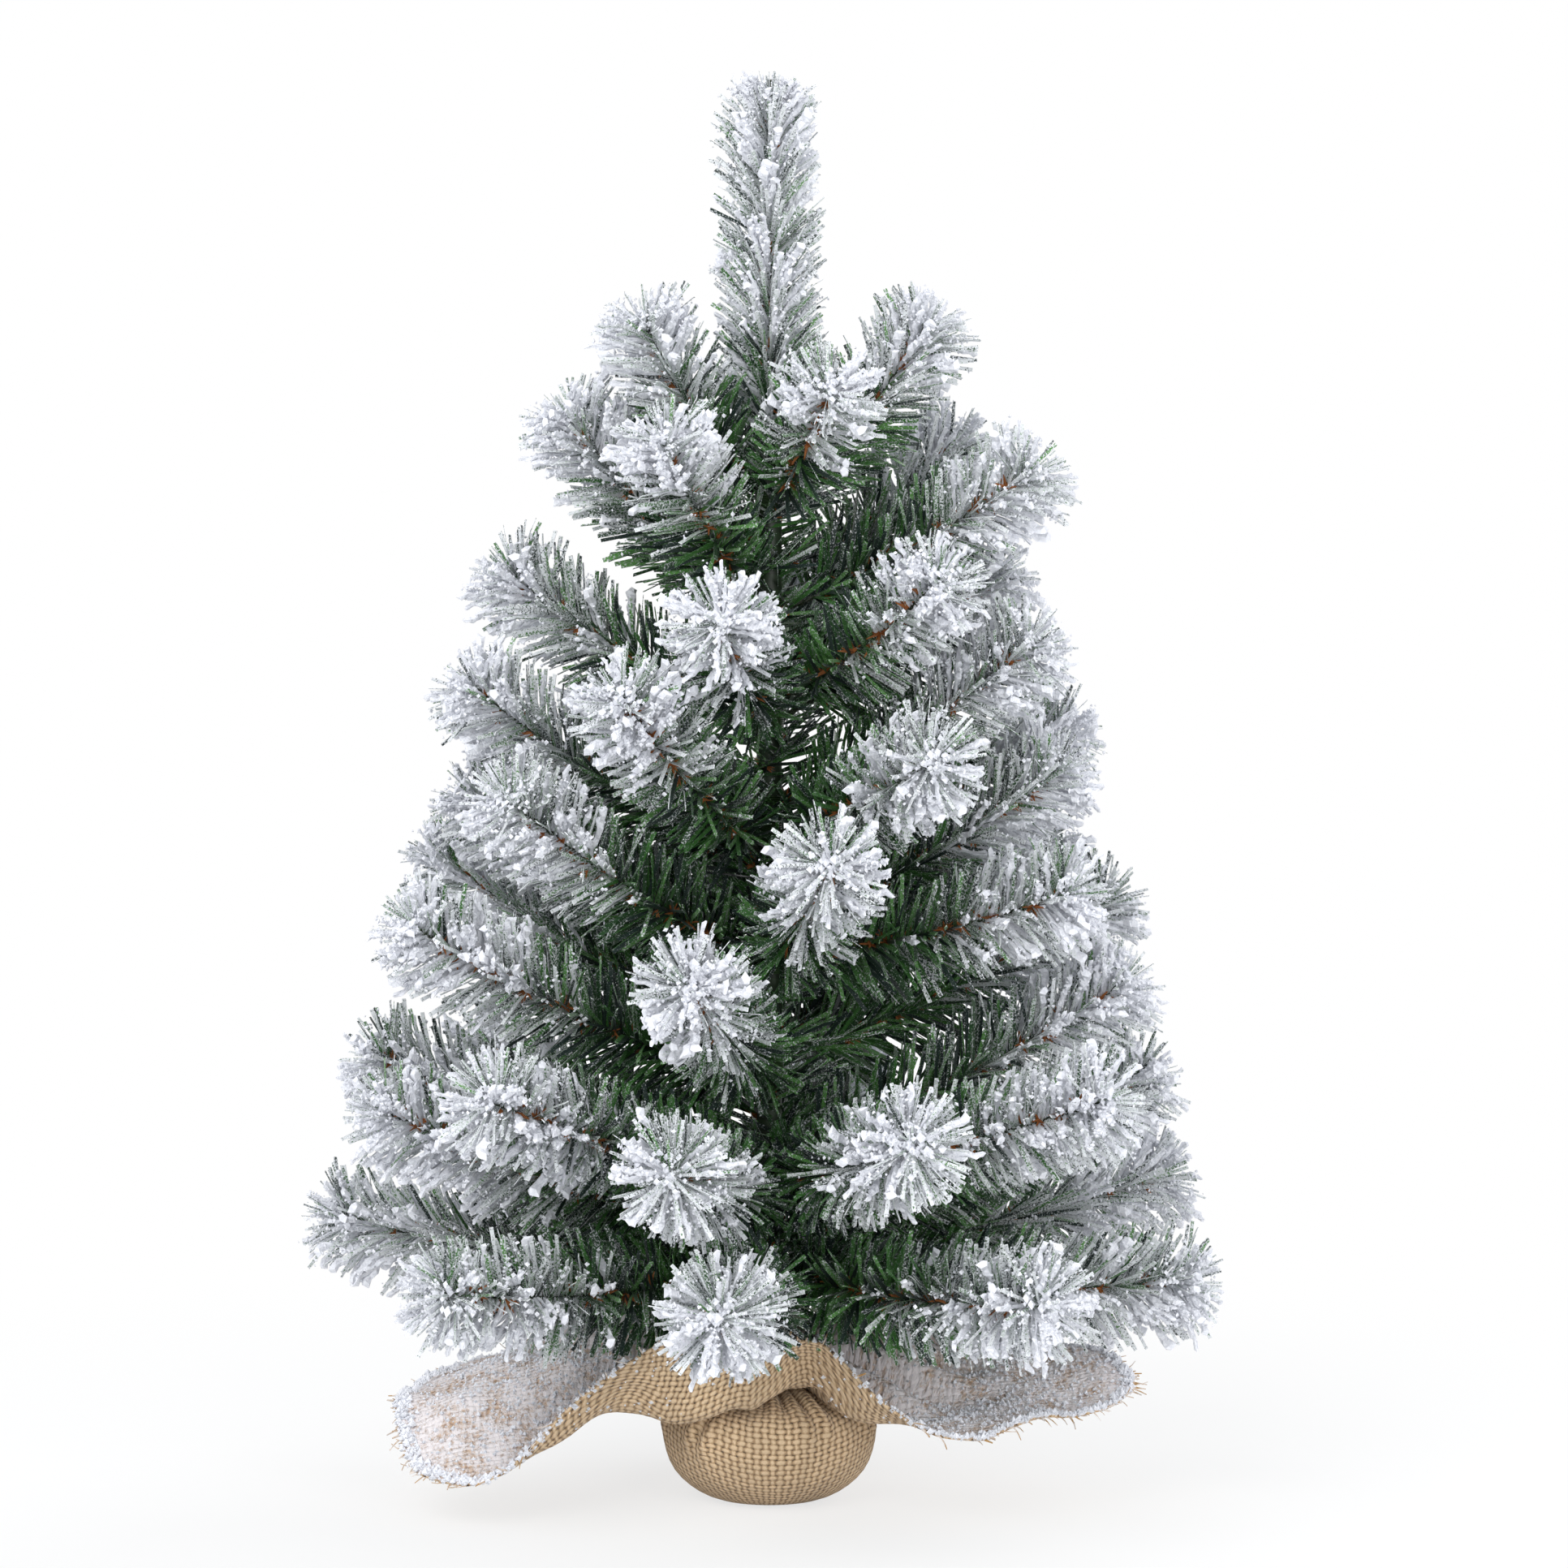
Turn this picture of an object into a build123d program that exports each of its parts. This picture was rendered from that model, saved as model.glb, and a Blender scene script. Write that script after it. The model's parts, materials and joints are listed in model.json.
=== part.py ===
from build123d import *

import os
from math import cos, radians, sin

# Small artificial fir, 600 mm tall. It stands on the foot of its cloth-wrapped weight, at the origin.
# Z is up and -Y is the front. An azimuth is 0 at the front, +90 on the right (+X) and -90 on the left.

# Cement weight in its moulding cup
weight_radius = 41.0
weight_foot_radius = 21.0
weight_widest_height = 25.5
weight_height = 30.0
weight_corner = 2.0
cup_wall = 1.2

# Burlap: one square of cloth, drawn up round the weight, tied, and flared out above the tie
cloth = 1.5
cloth_ease = 0.3
bag_shoulder_radius = 36.0
bag_shoulder_height = 40.5
neck_radius = 11.0
neck_height = 46.0
neck_length = 6.6
tie_wire_radius = 0.9
tie_turns = 3

# Skirt of the burlap: azimuth, how far its half-way fold lies beyond the bag's widest ring, that
# fold's height, how far its hem lies beyond the same ring, hem height
skirt_spokes = [
    (-90, 22, 64, 105, 44),
    (-77, 20, 62, 110, 32),
    (-67, 16, 55, 105, 18),
    (-59, 14, 48, 86, 21),
    (-53, 16, 44, 64, 40),
    (-46, 18, 43, 48, 58),
    (-36, 15, 44, 36, 66),
    (-18, 4, 44, 20, 68),
    (0, -3, 47, 10, 68),
    (14, -8, 51, 6, 66),
    (26, -8, 50, 14, 64),
    (36, 4, 43, 36, 50),
    (50, 14, 36, 60, 34),
    (64, 26, 36, 80, 40),
    (76, 34, 42, 104, 47),
    (90, 32, 50, 102, 54),
    (118, 14, 58, 68, 58),
    (150, 2, 58, 42, 60),
    (180, 18, 52, 78, 34),
    (210, 0, 58, 36, 60),
    (240, 14, 58, 64, 56),
    (270, 22, 64, 105, 44),
]
skirt_cloth = 2.4
front_spokes = 16

# Trunk: a steel rod cast in the weight, taped over the tails of the branch wires
rod_radius = 2.5
rod_foot_height = 8.0
rod_top = 431.0
tape_radius = 5.2
binding_radius = 6.0
binding_margin = 5.0

# Branches: each is a twisted wire with a brush of needles, bent upward along an arc
stem_radius = 1.2
knuckle_radius = 1.5
knuckle_length = 3.6
knuckle_gap = 0.3
bare_stem = 32.0
branch_curl = 12.0
brush_radius = 7.5
brush_bore_gap = 0.1

# Leader: the top of the tree, an upright brush on the end of the trunk
leader_foot_gap = 0.4
leader_knuckle_radius = 2.4
leader_knuckle_length = 7.0
leader_bare_stem = 13.0
leader_length = 158.0
leader_radius = 9.0
leader_rounding = 4.0

# Tiers from the bottom up. Each branch: root height, azimuth, rise of its chord in degrees, wire length
tiers = [
    [
        (94, -99, 6, 178),
        (94, -47, 3, 165),
        (94, -6, 3, 172),
        (94, 36, 3, 172),
        (94, 80, 0, 166),
        (98, 112, 9, 178),
        (94, 150, 8, 168),
        (94, -140, 6, 168),
        (110, -70, 20, 166),
        (112, 94, 23, 163),
    ],
    [
        (137, -89, 17, 162),
        (137, -43, 15, 156),
        (130, -13, 9, 159),
        (135, 20, 11, 157),
        (137, 55, 14, 157),
        (142, 80, 28, 157),
        (137, 168, 10, 155),
        (137, -125, 16, 155),
    ],
    [
        (190, -109, 28, 160),
        (173, -66, 25, 163),
        (180, -12, 18, 143),
        (183, 108, 24, 158),
        (178, -153, 22, 145),
        (186, 150, 30, 130),
    ],
    [
        (226, -57, 30, 134),
        (230, -95, 28, 133),
        (224, 11, 21, 130),
        (226, 63, 13, 130),
        (236, 88, 31, 131),
        (226, 121, 19, 139),
        (230, -165, 28, 125),
    ],
    [
        (266, -79, 32, 136),
        (270, -32, 32, 119),
        (278, 34, 16, 113),
        (288, 72, 33, 124),
        (271, 108, 22, 134),
        (270, -138, 33, 115),
    ],
    [
        (324, -95, 31, 118),
        (325, -11, 23, 100),
        (333, 47, 29, 98),
        (327, 94, 34, 105),
        (325, 172, 36, 98),
    ],
    [
        (371, -83, 46, 109),
        (371, -34, 44, 94),
        (371, 74, 28, 117),
        (371, 122, 40, 112),
        (371, -133, 46, 108),
    ],
    [
        (415, -58, 54, 88),
        (415, 92, 52, 93),
        (415, 20, 33, 76),
        (415, 175, 48, 85),
    ],
]

cup_radius = weight_radius + cup_wall
cup_foot_radius = weight_foot_radius + cup_wall
cup_floor = cloth
weight_floor = cup_floor + cup_wall
weight_top = weight_floor + weight_height
widest_height = weight_floor + weight_widest_height
bag_radius = cup_radius + cloth_ease + cloth
bag_foot_radius = cup_foot_radius + cloth
neck_top = neck_height + neck_length
hinge_radius = binding_radius + knuckle_gap + knuckle_radius
curl = radians(branch_curl)


def outward(azimuth):
    return Vector(sin(radians(azimuth)), -cos(radians(azimuth)), 0)


def upright_plane(azimuth, origin=(0, 0, 0)):
    """The plane that holds the trunk's axis: local X points out from the trunk and local Y points up."""
    out = outward(azimuth)
    return Plane(origin=origin, x_dir=out, z_dir=out.cross(Vector(0, 0, 1)))


def bowl_side(foot_radius, foot_height, side_radius):
    """The rounded side of the weight: an arc that stands upright at the widest ring."""
    return TangentArc(
        (side_radius, widest_height), (foot_radius, foot_height), tangent=(0, -1)
    )


os.makedirs("parts", exist_ok=True)


# Weighted base -------------------------------------------------------------------------------

with BuildPart() as cement_weight:
    with BuildSketch(Plane.XZ):
        with BuildLine():
            Line((rod_radius, weight_floor), (weight_foot_radius, weight_floor))
            bowl_side(weight_foot_radius, weight_floor, weight_radius)
            Line((weight_radius, widest_height), (weight_radius, weight_top))
            Line((weight_radius, weight_top), (rod_radius, weight_top))
            Line((rod_radius, weight_top), (rod_radius, weight_floor))
        make_face()
    revolve(axis=Axis.Z)
    with Locations((0, 0, weight_floor)):
        Cylinder(
            rod_radius,
            rod_foot_height - weight_floor,
            align=(Align.CENTER, Align.CENTER, Align.MIN),
        )
    fillet(cement_weight.edges().group_by(Axis.Z)[-1].sort_by(SortBy.RADIUS)[-1], weight_corner)
cement_weight.part.label = "cement_weight"
export_step(cement_weight.part, "parts/cement_weight.step")

with BuildPart() as weight_cup:
    with BuildSketch(Plane.XZ):
        with BuildLine():
            Line((0, cup_floor), (cup_foot_radius, cup_floor))
            bowl_side(cup_foot_radius, cup_floor, cup_radius)
            Line((cup_radius, widest_height), (cup_radius, weight_top))
            Line((cup_radius, weight_top), (weight_radius, weight_top))
            Line((weight_radius, weight_top), (weight_radius, widest_height))
            bowl_side(weight_foot_radius, weight_floor, weight_radius)
            Line((weight_foot_radius, weight_floor), (0, weight_floor))
            Line((0, weight_floor), (0, cup_floor))
        make_face()
    revolve(axis=Axis.Z)
weight_cup.part.label = "weight_cup"
export_step(weight_cup.part, "parts/weight_cup.step")

with BuildPart() as burlap_bag:
    with BuildSketch(Plane.XZ):
        with BuildLine():
            Line((0, 0), (bag_foot_radius, 0))
            bowl_side(bag_foot_radius, 0, bag_radius)
            TangentArc(
                (bag_radius, widest_height),
                (bag_shoulder_radius, bag_shoulder_height),
                tangent=(0, 1),
            )
            Line((bag_shoulder_radius, bag_shoulder_height), (neck_radius, neck_height))
            Line((neck_radius, neck_height), (neck_radius, neck_top))
            Line((neck_radius, neck_top), (tape_radius, neck_top))
            Line((tape_radius, neck_top), (tape_radius, weight_top + cloth_ease))
            Line(
                (tape_radius, weight_top + cloth_ease),
                (cup_radius + cloth_ease, weight_top + cloth_ease),
            )
            Line(
                (cup_radius + cloth_ease, weight_top + cloth_ease),
                (cup_radius + cloth_ease, widest_height),
            )
            bowl_side(cup_foot_radius, cup_floor, cup_radius + cloth_ease)
            Line((cup_foot_radius, cup_floor), (0, cup_floor))
            Line((0, cup_floor), (0, 0))
        make_face()
    revolve(axis=Axis.Z)
burlap_bag.part.label = "burlap_bag"
export_step(burlap_bag.part, "parts/burlap_bag.step")

with BuildPart() as neck_tie:
    with BuildSketch(Plane.XZ):
        with Locations(
            *[
                (neck_radius + tie_wire_radius, neck_height + (2 * turn + 1) * tie_wire_radius)
                for turn in range(tie_turns)
            ]
        ):
            Circle(tie_wire_radius)
    revolve(axis=Axis.Z)
neck_tie.part.label = "neck_tie"
export_step(neck_tie.part, "parts/neck_tie.step")


def skirt_section(azimuth, fold_reach, fold_height, hem_reach, hem_height):
    """The cloth cut along one azimuth, from the tied neck over the fold to the hem."""
    upper = [
        (neck_radius + cloth_ease, neck_top + skirt_cloth),
        (bag_radius + fold_reach, fold_height + skirt_cloth),
        (bag_radius + hem_reach, hem_height + skirt_cloth),
    ]
    lower = [(radius, height - skirt_cloth) for radius, height in upper]
    with BuildSketch(upright_plane(azimuth)) as section:
        with BuildLine():
            Spline(upper)
            Line(upper[-1], lower[-1])
            Spline(lower)
            Line(lower[0], upper[0])
        make_face()
    return section.sketch


def skirt_half(spokes):
    """Half of the skirt without its two end caps, so that the halves close on each other."""
    with BuildPart() as half:
        loft([skirt_section(*spoke) for spoke in spokes], ruled=True)
    return [
        face
        for face in half.faces()
        if not (face.is_planar and Plane.XZ.contains(face.center()))
    ]


burlap_faces = skirt_half(skirt_spokes[:front_spokes]) + skirt_half(skirt_spokes[front_spokes - 1 :])
with BuildPart() as burlap_skirt:
    add(Solid(Shell(burlap_faces)))
burlap_skirt.part.label = "burlap_skirt"
export_step(burlap_skirt.part, "parts/burlap_skirt.step")


# Trunk ---------------------------------------------------------------------------------------

with BuildPart() as trunk_rod:
    with Locations((0, 0, rod_foot_height)):
        Cylinder(rod_radius, rod_top - rod_foot_height, align=(Align.CENTER, Align.CENTER, Align.MIN))
trunk_rod.part.label = "trunk_rod"
export_step(trunk_rod.part, "parts/trunk_rod.step")

with BuildPart() as trunk_tape:
    with BuildSketch(Plane.XY.offset(weight_top)):
        Circle(tape_radius)
        Circle(rod_radius, mode=Mode.SUBTRACT)
    extrude(amount=rod_top - weight_top)
trunk_tape.part.label = "trunk_tape"
export_step(trunk_tape.part, "parts/trunk_tape.step")

with BuildPart() as branch_windings:
    for tier in tiers:
        roots = [branch[0] for branch in tier]
        with BuildSketch(Plane.XY.offset(min(roots) - binding_margin)):
            Circle(binding_radius)
            Circle(tape_radius, mode=Mode.SUBTRACT)
        extrude(amount=max(roots) - min(roots) + 2 * binding_margin)
branch_windings.part.label = "branch_windings"
export_step(branch_windings.part, "parts/branch_windings.step")


# Branches ------------------------------------------------------------------------------------


def stem_path(plane, rise, length, start=0.0):
    """The wire's centre line from start to its tip, as one arc that curls upward."""
    bend = length / curl
    root_heading = radians(rise) - curl / 2
    heading = root_heading + start / bend
    across = bend * (sin(heading) - sin(root_heading))
    up = bend * (cos(root_heading) - cos(heading))
    with BuildLine(plane) as path:
        JernArc(
            start=(across, up),
            tangent=(cos(heading), sin(heading)),
            radius=bend,
            arc_size=branch_curl * (1 - start / length),
        )
    return path.line


def swept_round(path, radius):
    with BuildSketch(Plane(origin=path @ 0, z_dir=path % 0)) as section:
        Circle(radius)
    return section.sketch


for tier_number, tier in enumerate(tiers, start=1):
    for place, (root_height, azimuth, rise, length) in enumerate(tier, start=1):
        root = outward(azimuth) * hinge_radius + Vector(0, 0, root_height)
        plane = upright_plane(azimuth, root)
        whole_stem = stem_path(plane, rise, length)
        brush_stem = stem_path(plane, rise, length, bare_stem)
        with BuildPart() as brush:
            sweep(swept_round(brush_stem, brush_radius), path=brush_stem)
            sweep(
                swept_round(brush_stem, stem_radius + brush_bore_gap),
                path=brush_stem,
                mode=Mode.SUBTRACT,
            )
        with BuildPart() as stem:
            sweep(swept_round(whole_stem, stem_radius), path=whole_stem)
            with Locations(plane):
                Cylinder(knuckle_radius, knuckle_length)
        branch = Compound(
            label=f"tier_{tier_number}_branch_{place}",
            children=[stem.part, brush.part],
        )
        export_step(branch, f"parts/{branch.label}.step")


# Leader --------------------------------------------------------------------------------------

leader_hinge_height = rod_top + leader_foot_gap + leader_knuckle_radius
leader_brush_height = leader_hinge_height + leader_bare_stem

with BuildPart() as leader:
    with BuildSketch(Plane.XY.offset(leader_brush_height)):
        Circle(leader_radius)
        Circle(rod_radius + brush_bore_gap, mode=Mode.SUBTRACT)
    extrude(amount=leader_length - leader_bare_stem)
    fillet(leader.edges().filter_by(GeomType.CIRCLE).group_by(SortBy.RADIUS)[-1], leader_rounding)
    with BuildSketch(Plane.XY.offset(leader_hinge_height)):
        Circle(rod_radius)
    extrude(amount=leader_length)
    with Locations(Location((0, 0, leader_hinge_height), (0, 90, 0))):
        Cylinder(leader_knuckle_radius, leader_knuckle_length)
leader.part.label = "leader"
export_step(leader.part, "parts/leader.step")
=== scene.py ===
import json
import math
import random

import bmesh
import bpy
from mathutils import Matrix, Vector, noise


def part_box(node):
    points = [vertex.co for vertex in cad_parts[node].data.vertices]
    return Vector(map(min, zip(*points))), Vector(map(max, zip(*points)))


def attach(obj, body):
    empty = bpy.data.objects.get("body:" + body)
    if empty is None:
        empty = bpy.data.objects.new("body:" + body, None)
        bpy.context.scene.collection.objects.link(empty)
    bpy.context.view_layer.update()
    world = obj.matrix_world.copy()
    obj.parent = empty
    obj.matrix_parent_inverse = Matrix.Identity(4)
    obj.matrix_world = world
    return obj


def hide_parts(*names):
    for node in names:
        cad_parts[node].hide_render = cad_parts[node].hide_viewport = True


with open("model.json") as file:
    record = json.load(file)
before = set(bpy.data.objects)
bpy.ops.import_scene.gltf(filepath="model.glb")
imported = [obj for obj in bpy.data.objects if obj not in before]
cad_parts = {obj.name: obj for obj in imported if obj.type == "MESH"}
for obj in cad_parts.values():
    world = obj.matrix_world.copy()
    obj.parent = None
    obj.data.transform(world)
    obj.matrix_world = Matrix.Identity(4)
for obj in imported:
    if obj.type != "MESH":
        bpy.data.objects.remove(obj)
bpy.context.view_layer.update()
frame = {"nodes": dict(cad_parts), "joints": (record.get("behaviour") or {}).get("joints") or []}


# ---- Studio
# A pale floor, a large soft lamp in front, weaker ones low in front and behind, and a pale sky.
# The camera stands 1.6 m away, a little above half the tree's height.
scene = bpy.context.scene
scene.view_settings.view_transform = "Standard"


def linear(colour):
    """An sRGB hex colour as linear red, green, blue and alpha."""
    parts = [int(colour[i:i + 2], 16) / 255 for i in (1, 3, 5)]
    return [p / 12.92 if p <= 0.04045 else ((p + 0.055) / 1.055) ** 2.4 for p in parts] + [1]


def add(tree, kind, inputs=None, **settings):
    """One node with its settings, whose inputs are values or the sockets that feed them."""
    made = tree.nodes.new("ShaderNode" + kind)
    for name, value in settings.items():
        setattr(made, name, value)
    for key, value in (inputs or {}).items():
        if isinstance(value, bpy.types.NodeSocket):
            tree.links.new(value, made.inputs[key])
        else:
            made.inputs[key].default_value = value
    return made


def empty_material(name):
    made = bpy.data.materials.new(name)
    made.use_nodes = True
    made.node_tree.nodes.clear()
    return made, made.node_tree


sky = bpy.data.worlds.new("studio_sky")
sky.use_nodes = True
sky.node_tree.nodes.clear()
seen = add(sky.node_tree, "LightPath")
seen_or_glossy = add(sky.node_tree, "Math", {0: seen.outputs["Is Camera Ray"],
                                             1: seen.outputs["Is Glossy Ray"]}, operation="MAXIMUM")
seen_at_all = add(sky.node_tree, "Math", {0: seen_or_glossy.outputs[0],
                                          1: seen.outputs["Is Transmission Ray"]}, operation="MAXIMUM")
soft_sky = add(sky.node_tree, "Background", {"Color": linear("#eef1f6"), "Strength": 0.78})
white_sky = add(sky.node_tree, "Background", {"Color": linear("#ffffff"), "Strength": 1.0})
sky_mix = add(sky.node_tree, "MixShader", {0: seen_at_all.outputs[0], 1: soft_sky.outputs[0],
                                           2: white_sky.outputs[0]})
add(sky.node_tree, "OutputWorld", {"Surface": sky_mix.outputs[0]})
scene.world = sky

for name, place, size, power in (("front_softbox", (-0.9, -1.7, 1.5), 1.4, 30),
                                 ("low_front_softbox", (0.8, -1.8, 0.45), 1.0, 13),
                                 ("back_softbox", (1.1, 1.2, 1.3), 1.2, 14)):
    lamp = bpy.data.lights.new(name, "AREA")
    lamp.size = size
    lamp.energy = power
    lamp_object = bpy.data.objects.new(name, lamp)
    lamp_object.location = place
    lamp_object.rotation_euler = (Vector((0, 0, 0.3)) - Vector(place)).to_track_quat("-Z", "Y").to_euler()
    scene.collection.objects.link(lamp_object)

camera = bpy.data.cameras.new("camera")
camera.sensor_width = 36
camera.lens = 88.03
camera_object = bpy.data.objects.new("camera", camera)
camera_object.location = (0.0061, -1.6, 0.335)
camera_object.rotation_euler = (Vector((0.0061, 0, 0.298))
                                - camera_object.location).to_track_quat("-Z", "Y").to_euler()
scene.collection.objects.link(camera_object)
scene.camera = camera_object

# matt painted board: the camera sees it nearly white, and it keeps the shadow
board, tree = empty_material("floor_matt_white_board")
diffuse = add(tree, "BsdfDiffuse", {"Color": linear("#f2f2f1")})
glow = add(tree, "Emission", {"Color": linear("#ffffff"), "Strength": 1.0})
path = add(tree, "LightPath")
place = add(tree, "TexCoord")
away = add(tree, "VectorMath", {0: place.outputs["Object"]}, operation="LENGTH")
# by 0.7 m from the tree the board has faded into the white backdrop, with no horizon
fade = add(tree, "MapRange", {"Value": away.outputs["Value"], "From Min": 0.22, "From Max": 0.7,
                              "To Min": 0.72, "To Max": 1.0}, interpolation_type="SMOOTHSTEP")
share = add(tree, "Math", {0: path.outputs["Is Camera Ray"], 1: fade.outputs[0]},
            operation="MULTIPLY")
mixed = add(tree, "MixShader", {0: share.outputs[0], 1: diffuse.outputs[0], 2: glow.outputs[0]})
add(tree, "OutputMaterial", {"Surface": mixed.outputs[0]})


def finished(name, mesh_in_edit, body, materials):
    """The piece's object at the origin, with its materials, riding on its body."""
    mesh = bpy.data.meshes.new(name)
    mesh_in_edit.to_mesh(mesh)
    mesh_in_edit.free()
    for material in materials:
        mesh.materials.append(material)
    piece = bpy.data.objects.new(name, mesh)
    scene.collection.objects.link(piece)
    if body:
        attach(piece, body)
    return piece


floor = bmesh.new()
bmesh.ops.create_grid(floor, x_segments=4, y_segments=4, size=6)
bmesh.ops.translate(floor, vec=(0, 0, -0.0005), verts=floor.verts)
finished("floor", floor, None, [board])


# ---- Cement weight and its moulded cup
# A plug of plain cement cast in a thin black plastic cup keeps the tree upright. Both are
# hidden in the burlap and keep the shapes of the frame.
cement, tree = empty_material("cast_cement")
place = add(tree, "TexCoord")
# sand and pores about 2 mm apart, under a broad mottle of damp grey
pores = add(tree, "TexNoise", {"Vector": place.outputs["Object"], "Scale": 500.0, "Detail": 3.0})
mottle = add(tree, "TexNoise", {"Vector": place.outputs["Object"], "Scale": 60.0, "Detail": 2.0})
grey = add(tree, "Mix", {0: mottle.outputs["Fac"], 6: linear("#8b8984"), 7: linear("#a8a59e")},
           data_type="RGBA")
bump = add(tree, "Bump", {"Height": pores.outputs["Fac"], "Strength": 0.4, "Distance": 0.0004})
surface = add(tree, "BsdfPrincipled", {"Base Color": grey.outputs[2], "Roughness": 0.92,
                                       "Normal": bump.outputs["Normal"]})
add(tree, "OutputMaterial", {"Surface": surface.outputs[0]})


def dress(node, material):
    """The frame's own solid keeps its shape and takes this material."""
    for held in frame["nodes"][node].material_slots:
        held.material = material


dress("cement_weight", cement)

cup_plastic, tree = empty_material("moulded_polypropylene")
place = add(tree, "TexCoord")
# satin moulded black with the faint flow streaks of recycled stock, about 8 mm long
streaks = add(tree, "TexNoise", {"Vector": place.outputs["Object"], "Scale": 120.0, "Detail": 2.0})
black = add(tree, "Mix", {0: streaks.outputs["Fac"], 6: linear("#1b1b1c"), 7: linear("#2b2b2c")},
            data_type="RGBA")
surface = add(tree, "BsdfPrincipled", {"Base Color": black.outputs[2], "Roughness": 0.45, "IOR": 1.49})
add(tree, "OutputMaterial", {"Surface": surface.outputs[0]})
dress("weight_cup", cup_plastic)


# ---- Burlap wrap
# One square of loose jute cloth stands under the weight, is gathered in pleats round the pole
# and opens above the tie in long flaps. The flaps' inner side caught the flock of the tree.
warp_pitch = 0.003
weft_pitch = 0.0022
wrap_azimuth_steps = 240
wrap_rows = 74
# the tie's place on the way from under the weight to the hem, and its radius in mm
tie_share = 0.42
tie_radius = 12.3
# azimuth in degrees, then the fold's radius and height and the hem's radius and height in mm
flap_lines = ((-90, 66, 64, 149, 45), (-77, 64, 62, 155, 34), (-68, 60, 56, 151, 20),
              (-60, 58, 50, 134, 19), (-54, 60, 44, 112, 40), (-47, 62, 41, 94, 60),
              (-36, 59, 40, 80, 72), (-18, 49, 44, 64, 75), (0, 42, 47, 54, 75),
              (14, 36, 51, 50, 73), (26, 36, 50, 58, 70), (36, 48, 43, 80, 51),
              (50, 58, 38, 104, 35), (64, 70, 38, 122, 41), (76, 78, 44, 149, 48),
              (90, 76, 51, 147, 55), (104, 66, 60, 128, 59), (120, 58, 64, 112, 61),
              (150, 46, 60, 86, 62), (180, 62, 52, 122, 34), (210, 44, 58, 80, 60),
              (240, 58, 60, 108, 58))
# radius and height of the bag's outside in mm, from under the weight up to the tie
bag_line = ((0, 0.8), (11, 0.8), (22.6, 0.9), (32.4, 5.3), (40.2, 13.2), (43.8, 24), (43.7, 33.6),
            (40.2, 39.4), (30, 43.4), (19, 45.8), (12.6, 48.2), (12.3, 51.5))


def through(points, t):
    """A place on the smooth curve through the points, with t from 0 to 1 from end to end."""
    spans = len(points) - 1
    at = min(max(t, 0) * spans, spans - 1e-9)
    i, u = int(at), at - int(at)
    a, b, c, d = (points[min(max(k, 0), spans)] for k in (i - 1, i, i + 1, i + 2))
    return [0.5 * (2 * q + (r - p) * u + (2 * p - 5 * q + 4 * r - s) * u * u
                   + (3 * q - p - 3 * r + s) * u ** 3) for p, q, r, s in zip(a, b, c, d)]


def flap_at(azimuth):
    """The fold and the hem of the skirt at an azimuth, between the lines that shape it."""
    lines = [(line[0] - 360, *line[1:]) for line in flap_lines[-2:]]
    lines += flap_lines
    lines += [(line[0] + 360, *line[1:]) for line in flap_lines[:3]]
    turned = (azimuth + 90) % 360 - 90
    k = max(i for i, line in enumerate(lines) if line[0] <= turned)
    share = (turned - lines[k][0]) / (lines[k + 1][0] - lines[k][0])
    return through([line[1:] for line in lines[k - 1:k + 3]], (1 + share) / 3)


def smooth(low, high, x):
    x = min(max((x - low) / (high - low), 0), 1)
    return x * x * (3 - 2 * x)


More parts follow.
